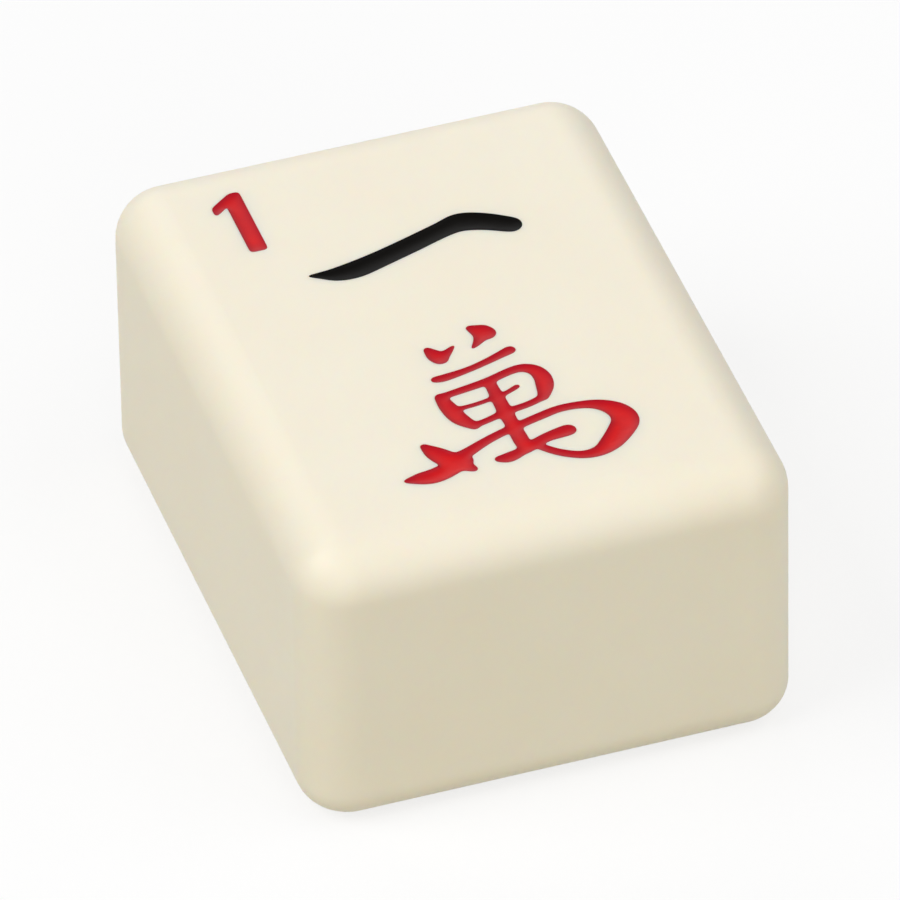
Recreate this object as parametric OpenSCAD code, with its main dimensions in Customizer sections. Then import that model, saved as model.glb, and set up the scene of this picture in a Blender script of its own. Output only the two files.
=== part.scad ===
// A mahjong tile: one solid moulded block, with three painted marks cut into its face.
// The origin is the middle of the back. +Z comes out of the face, and +Y points to the head of the marks.

/* [Block] */
// Width of the block, side to side
block_width = 23; // [20:0.5:30]
// Length of the block, foot to head
block_length = 30; // [28:0.5:40]
// Thickness of the block, back to face
block_thickness = 15; // [10:0.5:22]

/* [Rounding] */
// Radius of the four upright corners
corner_radius = 2.4; // [1:0.1:3.4]
// Radius of the four edges round the face, no more than the corners have
face_edge_radius = 2.4; // [1:0.1:3.4]
// Radius of the four edges round the back, no more than the corners have
back_edge_radius = 1.8; // [1:0.1:3.4]

/* [Engraving] */
// Depth of the cut strokes below the face
engraving_depth = 0.6; // [0.3:0.05:1.2]
// How far the paint lies below the face
paint_recess = 0.1; // [0.05:0.01:0.2]

/* [Numeral] */
// Width of the numeral
numeral_width = 1.55; // [1.2:0.05:3]
// Height of the numeral
numeral_height = 4.4; // [3:0.1:6]
// Radius of the corners of the numeral
numeral_rounding = 0.1; // [0.05:0.01:0.2]
// Distance from the left side of the block to the numeral
numeral_from_side = 4; // [3.5:0.1:6]
// Distance from the head of the block to the numeral
numeral_from_head = 3.1; // [3:0.1:4]

/* [Upper mark] */
// Width of the upper mark, one long stroke
one_width = 10.3; // [8:0.1:12]
// Height of the upper mark
one_height = 3.1; // [2:0.1:4]
// Width of the brush in the upper mark
one_brush = 1.25; // [0.8:0.05:1.6]
// Distance from the head of the block to the upper mark
one_from_head = 7.8; // [7.6:0.1:9]
// How far the upper mark lies right of the middle of the block
one_aside = 0.2; // [-1:0.1:1]

/* [Lower mark] */
// Width of the lower mark
wan_width = 11.4; // [9:0.1:13]
// Height of the lower mark
wan_height = 11; // [9:0.1:12]
// Width of the brush in the lower mark
wan_brush = 1; // [0.7:0.05:1.1]
// Distance from the foot of the block to the lower mark
wan_from_foot = 3.5; // [3.5:0.1:4.5]
// How far the lower mark lies right of the middle of the block
wan_aside = 0.3; // [-1:0.1:1]

/* [Hidden] */
ivory = [0.95, 0.92, 0.84];
red = [0.81, 0.07, 0.15];
black = [0.08, 0.08, 0.08];
// How far a cut runs past the surface that it opens
overrun = 1;
// Steps of the curve between two rows of a stroke, and sides of a round stroke end
curve_steps = 4;
end_sides = 6;
$fn = 64;

// Outline of the numeral, in shares of its width and height
numeral_outline_shares = [[0.45, 0], [1, 0], [1, 1], [0.68, 1], [0, 0.82], [0, 0.66], [0.45, 0.79]];

// A brush mark is a list of strokes. A stroke is a list of rows, in the order in which the brush draws them.
// Each row holds three shares: how far right and how far up it lies in its mark, and how wide the brush is
// pressed there.
one_shares = [
    [[0.01, 0.3, 0.12], [0.06, 0.26, 0.4], [0.13, 0.21, 0.78], [0.22, 0.23, 0.95], [0.34, 0.34, 0.9],
     [0.5, 0.51, 0.88], [0.66, 0.69, 0.88], [0.75, 0.76, 1.04], [0.85, 0.66, 0.98], [0.95, 0.47, 0.88]],
];
left_dot_shares = [
    [[0.34, 0.89, 0.4], [0.355, 0.85, 0.78], [0.37, 0.82, 0.82]],
    [[0.37, 0.82, 0.66], [0.405, 0.845, 0.46], [0.445, 0.88, 0.15]],
];
right_dot_shares = [
    [[0.54, 0.965, 0.45], [0.57, 0.935, 1], [0.59, 0.915, 0.95]],
    [[0.575, 0.915, 0.8], [0.54, 0.87, 0.42], [0.51, 0.84, 0.15]],
];
bar_shares = [
    [[0.31, 0.698, 0.44], [0.35, 0.698, 0.5], [0.44, 0.713, 0.4], [0.52, 0.735, 0.4], [0.59, 0.76, 0.46],
     [0.645, 0.78, 0.56]],
];
wan_body_shares = [
    // left side of the field
    [[0.295, 0.585, 0.55], [0.305, 0.51, 0.8], [0.325, 0.43, 0.82], [0.365, 0.365, 0.5]],
    // top and right side of the field
    [[0.295, 0.585, 0.42], [0.39, 0.6, 0.45], [0.5, 0.62, 0.48], [0.59, 0.648, 0.48], [0.65, 0.655, 0.55],
     [0.695, 0.625, 0.7], [0.71, 0.57, 0.82], [0.7, 0.51, 0.8], [0.675, 0.45, 0.5]],
    // foot of the field
    [[0.365, 0.37, 0.38], [0.43, 0.385, 0.38], [0.51, 0.41, 0.42], [0.6, 0.425, 0.4], [0.675, 0.45, 0.4]],
    // bar across the middle of the field, on both sides of the upright
    [[0.33, 0.49, 0.3], [0.41, 0.495, 0.27], [0.49, 0.51, 0.27]],
    [[0.51, 0.51, 0.27], [0.56, 0.53, 0.27], [0.6, 0.55, 0.3]],
    // upright
    [[0.505, 0.62, 0.52], [0.505, 0.52, 0.62], [0.505, 0.41, 0.7], [0.507, 0.31, 0.66], [0.508, 0.22, 0.74],
     [0.51, 0.16, 0.64]],
    // long stroke over the top, round the right and back along the foot
    [[0.23, 0.2, 0.6], [0.285, 0.215, 0.62], [0.355, 0.25, 0.52], [0.44, 0.285, 0.48], [0.54, 0.315, 0.48],
     [0.63, 0.34, 0.5], [0.71, 0.358, 0.48], [0.8, 0.352, 0.52], [0.87, 0.325, 0.74], [0.92, 0.27, 1.08],
     [0.93, 0.205, 1.26], [0.89, 0.145, 1.2], [0.83, 0.085, 1.02], [0.77, 0.05, 0.7], [0.7, 0.052, 0.52],
     [0.625, 0.095, 0.48], [0.57, 0.15, 0.44]],
    // left side of the frame, pressed hard
    [[0.14, 0.31, 0.4], [0.165, 0.26, 0.9], [0.205, 0.2, 1.08], [0.245, 0.15, 0.8], [0.28, 0.11, 0.42]],
    // flick to the left
    [[0.01, 0.125, 0.3], [0.065, 0.122, 0.8], [0.12, 0.12, 0.98], [0.19, 0.14, 0.95], [0.27, 0.17, 0.66]],
    // two short strokes inside the frame
    [[0.39, 0.135, 0.45], [0.43, 0.132, 0.68], [0.5, 0.155, 0.5]],
    [[0.52, 0.165, 0.62], [0.6, 0.2, 0.6], [0.66, 0.212, 0.72], [0.7, 0.218, 0.78]],
];

numeral_size = [numeral_width, numeral_height];
one_size = [one_width, one_height];
wan_size = [wan_width, wan_height];

// Lower left corners of the marks, from the middle of the face
numeral_corner = [numeral_from_side - block_width / 2, block_length / 2 - numeral_from_head - numeral_height];
one_corner = [one_aside - one_width / 2, block_length / 2 - one_from_head - one_height];
wan_corner = [wan_aside - wan_width / 2, wan_from_foot - block_length / 2];

// An edge is never rounder than the corners that it runs into
face_rounding = min(face_edge_radius, corner_radius);
back_rounding = min(back_edge_radius, corner_radius);

// Turns the rows of a stroke into places on the face and half widths.
function placed(rows, corner, size, brush) =
    [for (row = rows) [corner.x + row[0] * size.x, corner.y + row[1] * size.y, row[2] * brush / 2]];

// A smooth curve that leads from b to c while t goes from 0 to 1, steered by the rows a and d on either side.
function curve(a, b, c, d, t) =
    (2 * b + (c - a) * t + (2 * a - 5 * b + 4 * c - d) * pow(t, 2) + (3 * b - 3 * c + d - a) * pow(t, 3)) / 2;

// The rows of a stroke with curve_steps stations from each row to the next.
function stations(rows) =
    let (
        last = len(rows) - 1,
        r = [2 * rows[0] - rows[1], each rows, 2 * rows[last] - rows[last - 1]]
    )
    [
        for (i = [0 : last - 1], j = [0 : curve_steps - 1])
            curve(r[i], r[i + 1], r[i + 2], r[i + 3], j / curve_steps),
        rows[last],
    ];

// The points of a half circle from one side of a stroke to the other, without its two ends.
function round_end(centre, side) =
    [
        for (k = [1 : end_sides - 1])
            let (a = 180 * k / end_sides)
            centre + [side.x * cos(a) + side.y * sin(a), side.y * cos(a) - side.x * sin(a)],
    ];

// The outline of one stroke: up its left side, round its end, down its right side and round its start.
function stroke_outline(rows) =
    let (
        s = stations(rows),
        end = len(s) - 1,
        place = [for (p = s) [p.x, p.y]],
        way = [for (i = [0 : end]) place[min(i + 1, end)] - place[max(i - 1, 0)]],
        side = [for (i = [0 : end]) s[i].z * [-way[i].y, way[i].x] / norm(way[i])]
    )
    [
        for (i = [0 : end]) place[i] + side[i],
        each round_end(place[end], side[end]),
        for (i = [end : -1 : 0]) place[i] - side[i],
        each round_end(place[0], -side[0]),
    ];

// Draws the strokes of a brush mark, flat.
module brush_mark(strokes, corner, size, brush) {
    for (rows = strokes) polygon(stroke_outline(placed(rows, corner, size, brush)));
}

module numeral_mark() {
    points = [for (p = numeral_outline_shares) [p.x * numeral_width, p.y * numeral_height]];
    translate(numeral_corner)
        offset(r = numeral_rounding) offset(delta = -numeral_rounding) polygon(points);
}

module one_mark() brush_mark(one_shares, one_corner, one_size, one_brush);

module wan_mark(strokes) brush_mark(strokes, wan_corner, wan_size, wan_brush);

// Cuts a flat mark into the face.
module engraving() {
    translate([0, 0, block_thickness - engraving_depth])
        linear_extrude(engraving_depth + overrun) children();
}

// Fills the cut of a flat mark with paint, to just below the face.
module paint() {
    translate([0, 0, block_thickness - engraving_depth])
        linear_extrude(engraving_depth - paint_recess) children();
}

// Takes the square tip off a corner and leaves a quarter circle of the given radius.
module corner_waste(radius) {
    difference() {
        square(radius + overrun);
        circle(radius);
    }
}

// The block cut across, standing on its back: across wide, with rounded edges at the face and the back.
module section(across) {
    difference() {
        translate([-across / 2, 0]) square([across, block_thickness]);
        for (m = [0, 1]) mirror([m, 0]) {
            translate([across / 2 - face_rounding, block_thickness - face_rounding])
                corner_waste(face_rounding);
            translate([across / 2 - back_rounding, back_rounding])
                mirror([0, 1]) corner_waste(back_rounding);
        }
    }
}

// One upright corner, turned about its own axis.
module corner() {
    rotate_extrude(angle = 90) intersection() {
        translate([corner_radius - block_width / 2, 0]) section(block_width);
        square([corner_radius, block_thickness]);
    }
}

module rounded_block() {
    rotate([90, 0, 0]) translate([0, 0, corner_radius - block_length / 2])
        linear_extrude(block_length - 2 * corner_radius) section(block_width);
    rotate([90, 0, 90]) translate([0, 0, corner_radius - block_width / 2])
        linear_extrude(block_width - 2 * corner_radius) section(block_length);
    for (x = [0, 1], y = [0, 1])
        mirror([x, 0, 0]) mirror([0, y, 0])
            translate([block_width / 2 - corner_radius, block_length / 2 - corner_radius, 0]) corner();
}

module block() {
    color(ivory) difference() {
        rounded_block();
        engraving() numeral_mark();
        engraving() one_mark();
        for (strokes = [left_dot_shares, right_dot_shares, bar_shares, wan_body_shares])
            engraving() wan_mark(strokes);
    }
}

module numeral_paint() {
    color(red) paint() numeral_mark();
}

module one_stroke_paint() {
    color(black) paint() one_mark();
}

module wan_left_dot_paint() {
    color(red) paint() wan_mark(left_dot_shares);
}

module wan_right_dot_paint() {
    color(red) paint() wan_mark(right_dot_shares);
}

module wan_bar_paint() {
    color(red) paint() wan_mark(bar_shares);
}

// The field in the middle of the lower mark and the frame under it, which cross and are one cut.
module wan_body_paint() {
    color(red) paint() wan_mark(wan_body_shares);
}

block();
numeral_paint();
one_stroke_paint();
wan_left_dot_paint();
wan_right_dot_paint();
wan_bar_paint();
wan_body_paint();
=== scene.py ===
# %% [markdown]
# # A mahjong tile of ivory resin
# The real tile is one solid block of pale resin, about as big as the top joint of a thumb. It was moulded,
# its marks were cut into the face, the cuts were filled with paint, and the tile was tumbled until it was
# smooth. The CAD model gives the block, the outline of every cut and the fill of paint in each. This lesson
# gives them the soft lips, hollow paint and finishes that a camera sees from close by. The first cell loads
# the CAD model.

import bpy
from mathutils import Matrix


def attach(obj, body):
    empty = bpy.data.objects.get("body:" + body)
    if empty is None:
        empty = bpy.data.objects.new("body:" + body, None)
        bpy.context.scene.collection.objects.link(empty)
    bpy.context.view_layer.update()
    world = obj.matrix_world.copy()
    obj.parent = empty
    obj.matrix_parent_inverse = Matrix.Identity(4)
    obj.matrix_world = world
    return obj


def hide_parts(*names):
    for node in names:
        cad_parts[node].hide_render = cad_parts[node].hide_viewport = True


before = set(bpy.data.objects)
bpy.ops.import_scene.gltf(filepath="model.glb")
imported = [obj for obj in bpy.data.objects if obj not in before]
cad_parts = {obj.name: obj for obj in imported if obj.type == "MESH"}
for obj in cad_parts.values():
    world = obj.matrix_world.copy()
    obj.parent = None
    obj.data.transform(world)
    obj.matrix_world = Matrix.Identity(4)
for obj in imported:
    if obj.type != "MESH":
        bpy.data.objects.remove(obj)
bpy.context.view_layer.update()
print("CAD nodes:", ", ".join(sorted(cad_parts)))

# %% [markdown]
# ## Tools
# Blender brings its own modules for meshes and geometry, and NumPy, which works on thousands of points in
# one step. With json and math, which every Python has, they are all that the lesson needs.

# %% Bring in the tools
import math

import bmesh
import bpy
import numpy as np
from mathutils import Matrix, Vector
from mathutils.geometry import delaunay_2d_cdt

print("Blender", bpy.app.version_string, "with NumPy", np.__version__)

# %% [markdown]
# ## Sizes
# Blender works in metres, but a tile is easier to think of in millimetres. So the lesson keeps its shapes
# in millimetres and turns them into metres at the last moment. The sizes of the block could be typed again,
# but then they would have to be changed in two places. They are read from the CAD model instead: its width,
# length and thickness are its box, and the radius of a rounded edge is the distance from the side to where
# the flat begins.

# %% Measure the block
MM = 0.001
TOLERANCE = 0.001
MARKS = [
    "numeral_paint", "one_stroke_paint",
    "wan_left_dot_paint", "wan_right_dot_paint", "wan_bar_paint", "wan_body_paint",
]


def places(node):
    """The vertices of a CAD node, in millimetres."""
    return np.array([vertex.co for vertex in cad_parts[node].data.vertices]) / MM


block = places("block")
width, length, thickness = (block.max(axis=0) - block.min(axis=0)).tolist()
half = np.array([width / 2, length / 2])
on_face = block[block[:, 2] > thickness - TOLERANCE]
on_back = block[block[:, 2] < TOLERANCE]
on_side = block[block[:, 0] > half[0] - TOLERANCE]
face_radius = float(half[0] - on_face[:, 0].max())
back_radius = float(half[0] - on_back[:, 0].max())
corner_radius = float(half[1] - on_side[:, 1].max())
print(f"The tile is {length:.1f} x {width:.1f} x {thickness:.1f} mm")
print(f"Edges: face {face_radius:.2f}, back {back_radius:.2f}, corners {corner_radius:.2f} mm")

# %% [markdown]
# ## The camera
# The photographer stood far off with a long lens, so the tile's edges stay almost parallel. A camera could
# be moved by hand until the picture looks right. Here it is set by two angles and a distance, so it stands
# where the real one stood: a little to the left of the tile's foot and about 39 degrees above the table. It
# points at the middle of the block. A longer lens only brings the tile closer and doesn't change its shape
# in the picture.

# %% Place the camera
CAMERA_AZIMUTH = math.radians(-17.8)
CAMERA_ELEVATION = math.radians(39.3)
CAMERA_ROLL = math.radians(-1.05)
CAMERA_DISTANCE = 0.695
CAMERA_LENS = 620

middle = Vector((0, 0, thickness / 2 * MM))
towards_camera = Vector((
    math.sin(CAMERA_AZIMUTH) * math.cos(CAMERA_ELEVATION),
    -math.cos(CAMERA_AZIMUTH) * math.cos(CAMERA_ELEVATION),
    math.sin(CAMERA_ELEVATION),
))
camera_data = bpy.data.cameras.new("camera")
camera_data.lens = CAMERA_LENS
camera_data.clip_start = CAMERA_DISTANCE / 10
camera = bpy.data.objects.new("camera", camera_data)
bpy.context.collection.objects.link(camera)
aim = (-towards_camera).to_track_quat("-Z", "Y").to_matrix().to_4x4()
roll = Matrix.Rotation(CAMERA_ROLL, 4, "Z")
camera.matrix_world = Matrix.Translation(middle + towards_camera * CAMERA_DISTANCE) @ aim @ roll
bpy.context.scene.camera = camera
print("The camera stands at", [round(value, 3) for value in camera.location])

# %% [markdown]
# ## The outlines of the cuts
# Each fill of paint in the CAD model has a flat top, and the edges round that top are the outline of its
# cut, as the engraver would draw it. Drawing the outlines again would never match them quite, so they are
# read. Welding first joins the vertices that the file stores twice. An edge that belongs to only one top
# triangle lies on the outline, and walking from edge to edge gives closed loops with the paint on their
# left.

# %% Read the outlines
WELD = 0.0001


def outlines(node):
    """Closed outlines round the flat top of a CAD node, in millimetres, with the top on their left."""
    mesh = bmesh.new()
    mesh.from_mesh(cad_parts[node].data)
    bmesh.ops.remove_doubles(mesh, verts=mesh.verts, dist=WELD * MM)
    top = max(vertex.co.z for vertex in mesh.verts) - TOLERANCE * MM
    follows = {}
    for edge in mesh.edges:
        flat = [corner for corner in edge.link_loops if all(v.co.z > top for v in corner.face.verts)]
        if len(flat) == 1:
            follows[flat[0].vert] = flat[0].link_loop_next.vert
    loops = []
    while follows:
        first, vertex = follows.popitem()
        loop = [first]
        while vertex is not first:
            loop.append(vertex)
            vertex = follows.pop(vertex)
        loops.append(np.array([v.co.xy for v in loop]) / MM)
    mesh.free()
    return loops


drawn = {mark: outlines(mark) for mark in MARKS}
for mark, loops in drawn.items():
    print(f"{mark}: {len(loops)} outlines, {sum(map(len, loops))} points")

# %% [markdown]
# ## Softer outlines
# The outlines in the CAD model are made of short straight sides, and a real cutter leaves smooth curves
# without a single sharp corner. A spline through the points would keep every small error of theirs. So each
# outline first gets points at even distances. Then every point moves a little towards the two beside it,
# and after a few rounds of this the small corners are gone and the large ones are round.

# %% Space the points of the outlines and soften them
POINT_SPACING = 0.07
ROUNDS_OF_SOFTENING = 6


def evenly_spaced(loop):
    """Points at even distances round the loop."""
    closed = np.vstack([loop, loop[:1]])
    run = np.concatenate([[0], np.cumsum(np.linalg.norm(np.diff(closed, axis=0), axis=1))])
    count = round(run[-1] / POINT_SPACING)
    at = np.arange(count) / count * run[-1]
    return np.column_stack([np.interp(at, run, closed[:, axis]) for axis in (0, 1)])


def softened(loop):
    """The loop with every point moved towards its neighbours, round after round."""
    for _ in range(ROUNDS_OF_SOFTENING):
        loop = (loop + (np.roll(loop, 1, axis=0) + np.roll(loop, -1, axis=0)) / 2) / 2
    return loop


cuts = {mark: [softened(evenly_spaced(loop)) for loop in loops] for mark, loops in drawn.items()}
every_loop = [loop for loops in cuts.values() for loop in loops]
print("Points round all the cuts:", sum(map(len, every_loop)))

# %% [markdown]
# ## Distance to the outlines
# Everything about a cut depends on how far a point lies from its outline: the face rolls over into the cut
# just outside it and slopes down inside it. Blender can look up the nearest place on a mesh, but for one
# point at a time. The two helpers below measure the distance and tell whether a point lies inside. They
# take one side of an outline at a time, with all the points at once, which is where NumPy is quick.

# %% Measure distances
def sides(loops):
    """The start and the way of every straight side of the loops."""
    starts = np.vstack(loops)
    ways = np.vstack([np.roll(loop, -1, axis=0) - loop for loop in loops])
    return list(zip(starts, ways))


def distance(points, loops):
    """How far each point lies from the nearest loop."""
    nearest = np.full(len(points), np.inf)
    for start, way in sides(loops):
        offset = points - start
        share = np.clip(offset @ way / (way @ way), 0, 1)
        gap = offset - share[:, None] * way
        nearest = np.minimum(nearest, np.hypot(gap[:, 0], gap[:, 1]))
    return nearest


def inside(points, loops):
    """Whether each point lies inside: a line to its right then crosses the loops an odd number of times."""
    odd = np.zeros(len(points), dtype=bool)
    for start, way in sides(loops):
        crosses = (start[1] > points[:, 1]) != (start[1] + way[1] > points[:, 1])
        rise = way[1] if way[1] else 1
        reach = start[0] + way[0] * (points[:, 1] - start[1]) / rise
        odd ^= crosses & (reach > points[:, 0])
    return odd


cutter_path = sum(np.linalg.norm(way) for _, way in sides(every_loop))
print(f"The outlines are {cutter_path:.0f} mm long in all")

# %% [markdown]
# ## Rows of points beside each outline
# The lip of a cut is only a tenth of a millimetre wide, so it needs fine triangles, while the plain face
# needs few. A grid as fine as the lip all over the face would take most of a million points. Rows that
# follow each outline at set distances put the fine triangles just where the shape bends. Where two strokes
# come close, a row would run into the other stroke's rows, so a point stays only if no other outline is
# nearer to it than its own. One line of a table keeps what is known of a point: its place, its depth inside
# a cut, the number of its mark, and the way to the middle of the stroke.

# %% Lay the rows
ROW_OFFSETS = [
    -0.2, -0.13, -0.085, -0.05, -0.022, 0, 0.03, 0.07, 0.12, 0.17, 0.22, 0.28, 0.34, 0.4, 0.47, 0.54, 0.61,
]
ROW_SLACK = 0.93
PLACE, DEPTH, MARK, INWARD = slice(0, 2), 2, 3, slice(4, 6)
NO_MARK = -1


def table(points, depths, mark, inward):
    """Points with their depths, the number of their mark and their inward directions, one line each."""
    same = np.ones(len(points))
    return np.column_stack([points, depths * same, mark * same, np.broadcast_to(inward, points.shape)])


def rows_beside(loop, mark):
    """Rows of points that follow an outline on both its sides."""
    way = np.roll(loop, -1, axis=0) - np.roll(loop, 1, axis=0)
    way /= np.linalg.norm(way, axis=1)[:, None]
    inward = np.column_stack([-way[:, 1], way[:, 0]])
    return np.vstack([table(loop + offset * inward, offset, mark, inward) for offset in ROW_OFFSETS])


beside = np.vstack([rows_beside(loop, mark) for mark, loops in enumerate(cuts.values()) for loop in loops])
own_distance = np.abs(beside[:, DEPTH])
beside = beside[distance(beside[:, PLACE], every_loop) >= own_distance * ROW_SLACK]
print("Points in the rows:", len(beside))

# %% [markdown]
# ## The plain face between the cuts
# The rest of the face is flat and takes a coarse grid of points. Without them it would be split into long
# thin triangles, which shade unevenly. Its outermost points have to be the very points at which the rounded
# edge of the block begins, so the loop round the block is defined here, for any height: four quarter
# circles joined by straight runs. Drawn in by the full radius, its corners shrink to the four points of the
# flat's rectangle.

# %% Draw a loop round the block, and fill the flat
GRID_SPACING = 0.5
CORNER_STEPS = 12
CLEAR_OF_CUTS = 0.3
BORDER_DECIMALS = 6
CORNER_CENTRES = (half - corner_radius) * [[1, 1], [-1, 1], [-1, -1], [1, -1]]


def loop_round(inset):
    """Points round the block, drawn in from its sides by inset, and the outward direction at each."""
    points, outward = [], []
    for quarter, centre in enumerate(CORNER_CENTRES):
        turn = (quarter + np.arange(CORNER_STEPS + 1) / CORNER_STEPS) * math.pi / 2
        directions = np.column_stack([np.cos(turn), np.sin(turn)])
        way = CORNER_CENTRES[(quarter + 1) % 4] - centre
        steps = round(float(np.linalg.norm(way)) / GRID_SPACING)
        straight = centre + np.arange(1, steps)[:, None] / steps * way
        points.append(centre + (corner_radius - inset) * directions)
        points.append(straight + (corner_radius - inset) * directions[-1])
        outward.append(directions)
        outward.append(np.broadcast_to(directions[-1], straight.shape))
    return np.vstack(points), np.vstack(outward)


flat_half = half - face_radius
counts = np.round(2 * flat_half / GRID_SPACING).astype(int)
columns, rows = (np.linspace(-edge, edge, count + 1)[1:-1] for edge, count in zip(flat_half, counts))
grid = np.array(np.meshgrid(columns, rows)).reshape(2, -1).T
grid = grid[~inside(grid, every_loop)]
grid = grid[distance(grid, every_loop) > CLEAR_OF_CUTS]
border = np.unique(np.round(loop_round(face_radius)[0], BORDER_DECIMALS), axis=0)
plain = np.vstack([grid, border])
plain = table(plain, -distance(plain, every_loop), NO_MARK, np.zeros(2))
print(f"Points on the plain face: {len(grid)}, and on its border: {len(border)}")

# %% [markdown]
# ## One net of triangles
# A Delaunay triangulation joins the points into triangles that are as even as they can be. The block and
# the paint could have a net each, but then their seams would gape or cross. Here they share one: the block
# takes every triangle, and each fill of paint takes those inside its own outline, so the seams match point
# for point.

# %% Join the points
CLOSEST_POINTS = 0.008
COVER_EVERYTHING = 0
net = np.vstack([beside, plain])
corners = [Vector(place) for place in net[:, PLACE]]
_, _, triangles, sources, _, _ = delaunay_2d_cdt(corners, [], [], COVER_EVERYTHING, CLOSEST_POINTS)
net = net[[source[0] for source in sources]]
triangles = np.array(triangles)
print(f"The net has {len(net)} points and {len(triangles)} triangles")

# %% [markdown]
# ## The shape of a cut
# Tumbling rounds the lip of each cut, so the face rolls smoothly over into the sloping wall. A Boolean
# could cut the marks out, but it leaves sharp lips and long thin triangles, and a bump map would only paint
# the shade of a cut. A formula for the height at each point gives the real shape. It is a soft corner: far
# outside the outline it is zero, far inside it is a straight slope, and the slope changes over about LIP in
# between. The slope also gives the exact direction in which the surface faces, which makes the lip shine
# without facets.

# %% Drop the net into the cuts
LIP = 0.03
WALL_SLOPE = 1.2
CUT_DEPTH = thickness - places("numeral_paint")[:, 2].min()


def drop(depth):
    """How far the block's surface lies below its face, a distance inside the outline of a cut."""
    return np.minimum(WALL_SLOPE * LIP * np.log1p(np.exp(depth / LIP)), CUT_DEPTH)


drops = drop(net[:, DEPTH])
cut_heights = thickness - drops
cut_slopes = np.where(drops < CUT_DEPTH, WALL_SLOPE / (1 + np.exp(-net[:, DEPTH] / LIP)), 0)
cut_normals = np.column_stack([net[:, INWARD] * cut_slopes[:, None], np.ones(len(net))])
cut_normals /= np.linalg.norm(cut_normals, axis=1)[:, None]
print(f"The cuts go {thickness - cut_heights.min():.2f} mm deep")

# %% [markdown]
# ## The rounded sides of the block
# The moulded block has a rounded edge round its face, straight sides, and a smaller rounded edge round its
# back. A box with a Bevel modifier would look much the same, but its face couldn't meet the net point for
# point. So the sides are a stack of loops. The first is level with the face, the next ones turn through a
# quarter circle, then the sides run down, and a second quarter circle leads to the flat back.

# %% Stack the loops
EDGE_STEPS = 14
SIDE_STEPS = 8


def block_levels():
    """The inset, the height and the lean of the surface for each loop, from the face down to the back."""
    for lean in np.arange(EDGE_STEPS + 1) / EDGE_STEPS * math.pi / 2:
        yield face_radius * (1 - math.sin(lean)), thickness - face_radius * (1 - math.cos(lean)), lean
    for share in np.arange(1, SIDE_STEPS) / SIDE_STEPS:
        yield 0, thickness - face_radius - share * (thickness - face_radius - back_radius), math.pi / 2
    for lean in (1 + np.arange(EDGE_STEPS + 1) / EDGE_STEPS) * math.pi / 2:
        yield back_radius * (1 - math.sin(lean)), back_radius * (1 + math.cos(lean)), lean


levels = list(block_levels())
print("Loops round the block:", len(levels))

# %% [markdown]
# ## One closed block
# Rows of faces between the loops join them to the net and to each other, and one large face closes the
# back. A loop that shrinks to a point at a corner leaves repeated vertices there. Blender's own Merge by
# Distance would lose the directions that belong to the vertices, so a helper welds both together.

# %% Build the block
WELD_DECIMALS = 4


def joined(points, normals, faces):
    """Welds vertices that share a place, and drops what that leaves of faces without an area."""
    rounded = np.round(points, WELD_DECIMALS)
    _, first, place = np.unique(rounded, axis=0, return_index=True, return_inverse=True)
    place = place.ravel()
    kept = []
    for face in faces:
        corners = list(dict.fromkeys(place[face].tolist()))
        if len(corners) > 2:
            kept.append(corners)
    return points[first], normals[first], kept


def band(upper, lower, size):
    """Faces between two loops of size points, from the number of the first point of each."""
    return [[upper + k, lower + k, lower + (k + 1) % size, upper + (k + 1) % size] for k in range(size)]


def new_piece(name, points, faces):
    """A mesh piece that rides on the tile's one body. Its points are given in millimetres."""
    mesh = bpy.data.meshes.new(name)
    mesh.from_pydata((points * MM).tolist(), [], faces)
    mesh.polygons.foreach_set("use_smooth", [True] * len(mesh.polygons))
    piece = bpy.data.objects.new(name, mesh)
    bpy.context.collection.objects.link(piece)
    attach(piece, "root")
    return piece


points = [np.column_stack([net[:, PLACE], cut_heights])]
normals = [cut_normals]
faces = triangles.tolist()
loop_size = len(loop_round(0)[0])
lowest = len(net)
for inset, height, lean in levels:
    around, outward = loop_round(inset)
    points.append(np.column_stack([around, np.full(loop_size, height)]))
    normals.append(np.column_stack([outward * math.sin(lean), np.full(loop_size, math.cos(lean))]))
for _ in levels[1:]:
    faces += band(lowest, lowest + loop_size, loop_size)
    lowest += loop_size
faces.append(list(range(lowest, lowest + loop_size))[::-1])
points, normals, faces = joined(np.vstack(points), np.vstack(normals), faces)
tile_block = new_piece("tile_block", points, faces)
tile_block.data.normals_split_custom_set_from_vertices(normals.tolist())
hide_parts("block")
print(f"The block has {len(points)} vertices and {len(faces)} faces")

# %% [markdown]
# ## The hollow of the paint
# Wet paint clings to the rim of its cut and sags in between, and it stays hollow when it dries. A flat cap
# would look printed, and a copy of the cut's own slopes would have a crease along the middle of each
# stroke. A real surface behaves like water in a narrow dish: every point rests at a mean of its neighbours'
# depths and of the depth to which paint sags in a very wide cut. The larger the patch of surface round a
# point, the more that depth counts, and the shorter the way across to a neighbour, the more the neighbour
# counts. Taking the mean many times lets the surface settle. Each round also carries on in the direction of
# the last one, as a rolling ball does, and then the surface needs far fewer rounds.

# %% Let the paint sag
FULL_SAG = 0.22
CLING = 0.3
ROUNDS_OF_SAGGING = 300
MOMENTUM = 0.9


def ties_between(points, faces):
    """The two ends of each tie between neighbours, its firmness, and the area round each point."""
    ends, ties, area = [], [], np.zeros(len(points))
    for turn in range(3):
        here, left, right = np.roll(faces, turn, axis=1).T
        to_left, to_right = points[left] - points[here], points[right] - points[here]
        twice_area = to_left[:, 0] * to_right[:, 1] - to_left[:, 1] * to_right[:, 0]
        area += np.bincount(here, weights=twice_area / 6, minlength=len(points))
        firmness = (to_left * to_right).sum(axis=1) / twice_area / 2
        ends.append(np.hstack([(left, right), (right, left)]))
        ties.append(np.tile(firmness, 2))
    return np.hstack(ends), np.concatenate(ties), area


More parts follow.
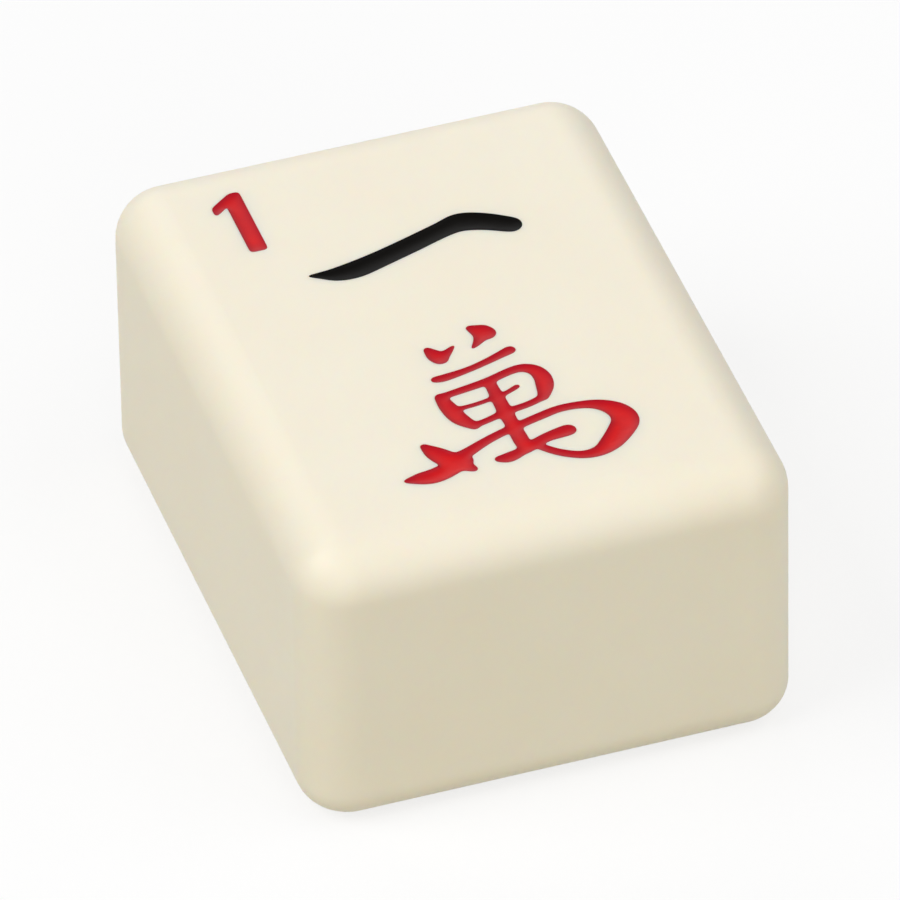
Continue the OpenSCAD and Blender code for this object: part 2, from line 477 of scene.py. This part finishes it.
def sagged(points, faces, rim):
    """How far the surface of the paint hangs below its rim at each point."""
    (here, there), ties, area = ties_between(points, faces)
    ties = ties * CLING ** 2
    whole = area + np.bincount(here, weights=ties, minlength=len(points))
    before = sag = np.zeros(len(points))
    for _ in range(ROUNDS_OF_SAGGING):
        pull = np.bincount(here, weights=ties * sag[there], minlength=len(points))
        rest = np.where(rim, 0, (area * FULL_SAG + pull) / whole)
        sag, before = rest + MOMENTUM * (sag - before), sag
    return sag


near_rim = FULL_SAG * (1 - math.exp(-1))
print(f"Paint in a very wide cut hangs {FULL_SAG} mm deep, but {near_rim:.2f} mm at {CLING} mm from its rim")

# %% [markdown]
# ## The fills of paint
# Each cut holds its own piece of paint. A single sheet of triangles would do for the picture, but it would
# be no solid, and a solid can be measured, exported and printed. So the top of each fill hangs from the rim
# of its cut, and a second layer of the same triangles, just above the cut, closes it. The rim stays sharp,
# because the paint meets the wall of the cut there at an angle.

# %% Fill the cuts with paint
ABOVE_THE_CUT = 0.006
THINNEST_PAINT = 0.006
SLOTS = {"one_stroke_paint": "black_paint"}


def part_of_net(number):
    """The points of the net that lie in one mark, and the triangles between them."""
    in_cut = (net[:, DEPTH] >= 0) & (net[:, MARK] == number)
    used, chosen = np.unique(triangles[in_cut[triangles].all(axis=1)], return_inverse=True)
    return used, chosen.reshape(-1, 3)


def edges_once(faces):
    """The edges that only one of the triangles has."""
    edges = np.sort(np.vstack([faces[:, [0, 1]], faces[:, [1, 2]], faces[:, [2, 0]]]), axis=1)
    edges, uses = np.unique(edges, axis=0, return_counts=True)
    return edges[uses == 1]


def fill(mark, number):
    """The closed thin solid of paint in one cut."""
    used, upper = part_of_net(number)
    rim_edges = edges_once(upper)
    rim = np.zeros(len(used), dtype=bool)
    rim[rim_edges] = True
    cut = cut_heights[used]
    bottom = cut + np.where(rim, 0, ABOVE_THE_CUT)
    top = thickness - drop(0) - sagged(net[used, PLACE], upper, rim)
    top = np.where(rim, cut, np.maximum(top, bottom + THINNEST_PAINT))
    under = np.arange(len(used))
    under[~rim] = len(used) + np.arange((~rim).sum())
    points = np.vstack([
        np.column_stack([net[used, PLACE], top]),
        np.column_stack([net[used, PLACE], bottom])[~rim],
    ])
    faces = upper.tolist() + under[upper[:, ::-1]].tolist()
    piece = new_piece(mark + "_fill", points, faces)
    sharp = {tuple(edge) for edge in rim_edges.tolist()}
    for edge in piece.data.edges:
        edge.use_edge_sharp = tuple(sorted(edge.vertices)) in sharp
    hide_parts(mark)
    print(f"{piece.name}: {len(faces)} faces, thickest {(top - bottom).max():.2f} mm")
    return piece


fills = {mark: fill(mark, number) for number, mark in enumerate(MARKS)}

# %% [markdown]
# ## Shader maths in plain Python
# A material is a graph of small nodes. Written out one link at a time, even a short sum takes many lines.
# The class below wraps the output of a node, so that an expression such as `0.3 + 0.1 * grain` adds its
# Math nodes by itself. Colours and vectors need other nodes, because a Math node keeps a single number.

# %% A socket that can be added and multiplied
class Wire:
    """The output of a shader node, which takes part in Python sums."""

    def __init__(self, recipe, socket):
        self.recipe = recipe
        self.socket = socket

    def maths(self, operation, first, second=0, clamp=False):
        """The output of a new Math node."""
        settings = {"operation": operation, "use_clamp": clamp}
        return self.recipe.add("Math", settings, {0: first, 1: second})

    def __add__(self, other):
        return self.maths("ADD", self, other)

    def __sub__(self, other):
        return self.maths("SUBTRACT", self, other)

    def __rsub__(self, other):
        return self.maths("SUBTRACT", other, self)

    def __mul__(self, other):
        return self.maths("MULTIPLY", self, other)

    __radd__ = __add__
    __rmul__ = __mul__

    def __abs__(self):
        return self.maths("ABSOLUTE", self)

    def larger(self, other):
        return self.maths("MAXIMUM", self, other)

    def within(self):
        """The value, kept between 0 and 1."""
        return self.maths("ADD", self, 0, clamp=True)


print("A wire takes +, -, * and abs()")

# %% [markdown]
# ## A recipe for each material
# One method adds any other node: it takes the node's type, its settings, which are set first because they
# can change the sockets, and the values or wires that go into its sockets. A few short methods on top of it
# give the steps that every finish here needs: a grainy pattern, a soft threshold, a mix of two colours and
# fine relief.

# %% Build materials from recipes
class Recipe:
    """The nodes of one material or of the world."""

    def __init__(self, tree):
        self.tree = tree
        self.tree.nodes.clear()

    def add(self, kind, settings=None, sockets=None, output=0):
        """Adds a node, sets it up, plugs in its sockets and returns one of its outputs."""
        node = self.tree.nodes.new("ShaderNode" + kind)
        for name, value in (settings or {}).items():
            if name == "stops":
                for element, (place, level) in zip(node.color_ramp.elements, value):
                    element.position = place
                    element.color = (level, level, level, 1)
            else:
                setattr(node, name, value)
        for key, value in (sockets or {}).items():
            if isinstance(value, Wire):
                self.tree.links.new(value.socket, node.inputs[key])
            else:
                node.inputs[key].default_value = value
        return Wire(self, node.outputs[output]) if node.outputs else None

    def parts(self, vector):
        """The three numbers of a vector."""
        node = self.add("SeparateXYZ", None, {0: vector}).socket.node
        return [Wire(self, output) for output in node.outputs]

    def place(self, stretch=(1, 1, 1), turn=0):
        """Where a point lies on the tile, in metres, stretched and turned about the upright axis."""
        where = self.add("TexCoord", output="Object")
        return self.add("Mapping", None, {"Vector": where, "Rotation": (0, 0, turn), "Scale": stretch})

    def grain(self, size, detail=2, place=None):
        """Cloudy noise from 0 to 1, whose patches are about size millimetres wide."""
        sockets = {"Vector": place or self.place(), "Scale": 1 / (size * MM), "Detail": detail}
        return self.add("TexNoise", None, sockets)

    def threshold(self, value, low, high):
        """0 where the value is under low, 1 where it is over high, and smooth in between."""
        settings = {"stops": [(low, 0), (high, 1)]}
        return self.add("ValToRGB", settings, {"Fac": value})

    def blend(self, mask, first, second):
        """The first colour where the mask is 0, and the second where it is 1."""
        return self.add("Mix", {"data_type": "RGBA"}, {0: mask, 6: first, 7: second}, 2)

    def bump(self, height, depth, under=None):
        """Fine relief: a height from 0 to 1 that stands for depth millimetres."""
        sockets = {"Height": height, "Strength": 1, "Distance": depth * MM}
        if under:
            sockets["Normal"] = under
        return self.add("Bump", None, sockets)


def new_material(name, make):
    """A material whose recipe make writes."""
    material = bpy.data.materials.new(name)
    material.use_nodes = True
    recipe = Recipe(material.node_tree)
    surface = make(recipe)
    recipe.add("OutputMaterial", None, {"Surface": surface})
    print(f"{name}: {len(material.node_tree.nodes)} nodes")
    return material


# %% [markdown]
# ## Colours
# A colour picker gives a colour as a screen shows it, in steps from 0 to 255. Blender adds up light, so it
# works with linear values, in which half grey is far less than a half. A helper turns the one into the
# other by the standard curve of screens, sRGB, and the recipes can then name their colours by what a
# photograph shows.

# %% Turn screen colours into light
SCREEN_STEPS = 255


def colour(red, green, blue):
    """A colour as a screen shows it, from 0 to 255, turned into the linear values that Blender works with."""
    shares = np.array([red, green, blue]) / SCREEN_STEPS
    linear = np.where(shares > 0.04045, ((shares + 0.055) / 1.055) ** 2.4, shares / 12.92)
    return (*linear.tolist(), 1)


print("Half grey on a screen is", round(colour(128, 128, 128)[0], 3), "in linear light")

# %% [markdown]
# ## Ivory resin
# The block is melamine resin. Light enters it a little way, so it glows softly from within, and a plain
# matt colour would look like chalk. Subsurface scattering gives that glow: red light travels furthest,
# which warms the shaded sides. The resin is never quite even, so three close shades are mixed in cloudy
# patches. Tumbling leaves a soft gloss with a faint unevenness and hairline scratches, and handling
# polishes the rounded edges. The mask of the edges comes from the direction of the surface: on a flat side
# one of its three numbers is 1, and on a rounded edge none is. That works for any block, where a painted
# mask would fit only one.

# %% Mix the ivory resin
SHELL = colour(245, 236, 215)
CREAM = colour(250, 242, 226)
HONEY = colour(242, 232, 208)
HONEY_SHARE = 0.35
EDGE_CONTRAST = 3
THREAD = (1, 0.03, 1)
SOFT_GLOSS = 0.43
PEEL_DULLS = 0.1
HANDLING_SHINES = 0.04
SCRATCHES_DULL = 0.08
PEEL_RELIEF = 0.004
FINE_RELIEF = 0.0012
SCRATCH_SHARE = 0.6
GLOW = {
    "Subsurface Weight": 0.6,
    "Subsurface Radius": (1, 0.72, 0.42),
    "Subsurface Scale": 0.9 * MM,
}


def hairlines(recipe, size, turn, low, high):
    """Scratches that run one way: noise drawn out into threads, of which only the highest show."""
    threads = recipe.grain(size, place=recipe.place(THREAD, turn))
    return recipe.threshold(threads, low, high)


def ivory_resin(recipe):
    """The resin of the block: cloudy, softly glossy and lightly scratched."""
    cloud = recipe.grain(size=9, detail=3)
    flow = recipe.grain(size=5, detail=4, place=recipe.place(stretch=(1, 0.35, 1), turn=0.4))
    peel = recipe.grain(size=0.9)
    fine = recipe.grain(size=0.16, detail=3)
    x, y, z = map(abs, recipe.parts(recipe.add("TexCoord", output="Normal")))
    edge = ((1 - x.larger(y).larger(z)) * EDGE_CONTRAST).within()
    first = hairlines(recipe, size=0.35, turn=0.7, low=0.66, high=0.72)
    second = hairlines(recipe, size=0.3, turn=-0.5, low=0.67, high=0.73)
    scratches = (first + second).within()
    mottled = recipe.blend(HONEY_SHARE * flow, recipe.blend(cloud, SHELL, CREAM), HONEY)
    rough = SOFT_GLOSS + PEEL_DULLS * peel - HANDLING_SHINES * edge + SCRATCHES_DULL * scratches
    relief = recipe.bump(peel, PEEL_RELIEF)
    relief = recipe.bump(fine - SCRATCH_SHARE * scratches, FINE_RELIEF, relief)
    return recipe.add("BsdfPrincipled", {"subsurface_method": "RANDOM_WALK"}, {
        "Base Color": mottled,
        "Roughness": rough,
        "IOR": 1.5,
        "Normal": relief,
        **GLOW,
    })


tile_block.data.materials.append(new_material("ivory_resin", ivory_resin))

# %% [markdown]
# ## Enamel paint
# The paint is a glossy enamel, put on by hand. One flat red would look printed. The real paint lies
# unevenly, so its colour and its gloss vary a little. Its colour also carries painted light: it is painted
# darkest at the rim, as the shade of the wall of the cut, and lighter in the hollow, as a painted highlight.
# That could be painted by hand, but the shape already knows it: the height of a point tells how far below
# the face it lies. Deep paint is painted bright, and shallow paint is painted dark. One recipe serves both
# colours.

# %% Mix the enamels
# HOLLOW and RIM_SHARE set where the painted shade at the rim turns into the painted highlight in the hollow.
HOLLOW = 0.14
RIM_SHARE = 0.2
EVEN_SHARE = 0.45
STREAK_SHARE = 0.9
HIGH_GLOSS = 0.26
STREAKS_DULL = 0.16
STREAK_RELIEF = 0.02
SKIN_RELIEF = 0.002


def enamel(deep, bright, gloss):
    """The recipe of an enamel whose colour is painted dark at the rim, as shade, and bright in the hollow, as
    a highlight.
    """
    def make(recipe):
        streaks = recipe.grain(size=0.8, detail=3, place=recipe.place(stretch=(1, 1, 0.2)))
        skin = recipe.grain(size=0.22)
        height = recipe.parts(recipe.add("TexCoord", output="Object"))[2]
        # Painted light: shallow paint at the rim gets a painted shade, and deep paint in the hollow a painted
        # highlight.
        rim_shade_hollow_highlight = ((thickness * MM - height) * (1 / (HOLLOW * MM)) - RIM_SHARE).within()
        relief = recipe.bump(streaks, STREAK_RELIEF)
        relief = recipe.bump(skin, SKIN_RELIEF, relief)
        return recipe.add("BsdfPrincipled", None, {
            "Base Color": recipe.blend(rim_shade_hollow_highlight * (EVEN_SHARE + STREAK_SHARE * streaks), deep, bright),
            "Roughness": HIGH_GLOSS + STREAKS_DULL * streaks,
            "Specular IOR Level": gloss,
            "Normal": relief,
        })
    return make


# The deep colours are painted shade at the rims of the cuts, and the bright ones painted highlights in their
# hollows.
red = new_material("red_enamel", enamel(colour(168, 6, 32), colour(216, 20, 22), gloss=0.12))
black = new_material("black_enamel", enamel(colour(5, 4, 3), colour(12, 10, 8), gloss=0.04))
for mark, piece in fills.items():
    piece.data.materials.append(black if mark in SLOTS else red)

# %% [markdown]
# ## Floor and world
# The tile lies on a plain table. A product photograph shows that table as pure white, with only a hint of a
# shadow. Lamps strong enough for that would burn out the pale tile. So wherever the camera sees the floor,
# straight or in a reflection, most of its white is light of its own, and the rest comes from the lamps and
# keeps the shadow. For the light that bounces off it, the floor is buff card, which leaves the sides of the
# tile a little darker and warmer than its face. The world is white where it is seen, and dimmer as a lamp.

# %% Lay the floor and light the world
FLOOR_HALF = 3
SHADOW_KEPT = 0.25
WORLD_LIGHT = 0.26
WHITE = colour(255, 255, 255)
PAPER = colour(253, 253, 253)
BUFF = colour(191, 187, 166)


def seen(recipe):
    """1 for a ray that shows the background: one from the camera, or one off or through something shiny."""
    camera_ray, glossy, through = (recipe.add("LightPath", output=f"Is {ray} Ray")
                                   for ray in ("Camera", "Glossy", "Transmission"))
    return camera_ray.larger(glossy).larger(through)


def floor_card(recipe):
    """Buff card where light bounces, and white paper with a glow where it is seen."""
    buff = recipe.add("BsdfDiffuse", None, {"Color": BUFF})
    paper = recipe.add("BsdfDiffuse", None, {"Color": PAPER})
    glow = recipe.add("Emission", None, {"Color": WHITE, "Strength": 1})
    clean = recipe.add("MixShader", None, {0: 1 - SHADOW_KEPT, 1: paper, 2: glow})
    return recipe.add("MixShader", None, {0: seen(recipe), 1: buff, 2: clean})


def bright_sky(recipe):
    """White where it is seen, and dimmer as a lamp."""
    strength = WORLD_LIGHT + (1 - WORLD_LIGHT) * seen(recipe)
    return recipe.add("Background", None, {"Color": WHITE, "Strength": strength})


floor_corners = [(x * FLOOR_HALF, y * FLOOR_HALF, 0) for x, y in ((-1, -1), (1, -1), (1, 1), (-1, 1))]
floor_mesh = bpy.data.meshes.new("floor")
floor_mesh.from_pydata(floor_corners, [], [(0, 1, 2, 3)])
floor_mesh.materials.append(new_material("floor_card", floor_card))
floor = bpy.data.objects.new("floor", floor_mesh)
bpy.context.collection.objects.link(floor)
world = bpy.data.worlds.new("studio")
world.use_nodes = True
bpy.context.scene.world = world
sky = Recipe(world.node_tree)
sky.add("OutputWorld", None, {"Surface": bright_sky(sky)})
print("The floor is", 2 * FLOOR_HALF, "m wide")

# %% [markdown]
# ## Lamps
# Four wide lamps stand round the table and look at the tile. The left and front ones are the strongest:
# together they keep the face bright until it has rolled well over its edges, and leave the front and left
# sides in light shade. The right one fills the far side, and the one at the head only brightens the rim
# there. All are large for so small a thing, so their shadows have no edge, where a point lamp would draw a
# hard one. Each lamp is set by the light that it sends to a surface that faces it, so it can be moved away
# without growing dimmer.

# %% Hang the lamps
LAMP_AWAY = 1.2
LAMP_SIDE = 0.9


def softbox(name, azimuth, elevation, level):
    """A square lamp that looks at the tile. Azimuth turns from the tile's foot to its right, in degrees."""
    turn, rise = math.radians(azimuth), math.radians(elevation)
    direction = Vector((math.sin(turn) * math.cos(rise), -math.cos(turn) * math.cos(rise), math.sin(rise)))
    data = bpy.data.lights.new(name, "AREA")
    data.shape = "SQUARE"
    data.size = LAMP_SIDE
    data.energy = level * (math.pi * LAMP_AWAY) ** 2
    lamp = bpy.data.objects.new(name, data)
    lamp.location = middle + direction * LAMP_AWAY
    lamp.rotation_mode = "QUATERNION"
    lamp.rotation_quaternion = direction.to_track_quat("Z", "Y")
    bpy.context.collection.objects.link(lamp)
    print(f"{name}: {data.energy:.2f} W")


softbox("left_lamp", azimuth=-90, elevation=45, level=0.52)
softbox("front_lamp", azimuth=-3, elevation=28, level=0.31)
softbox("right_lamp", azimuth=65, elevation=52, level=0.27)
softbox("head_lamp", azimuth=180, elevation=32, level=0.16)
bpy.context.scene.view_settings.view_transform = "Standard"
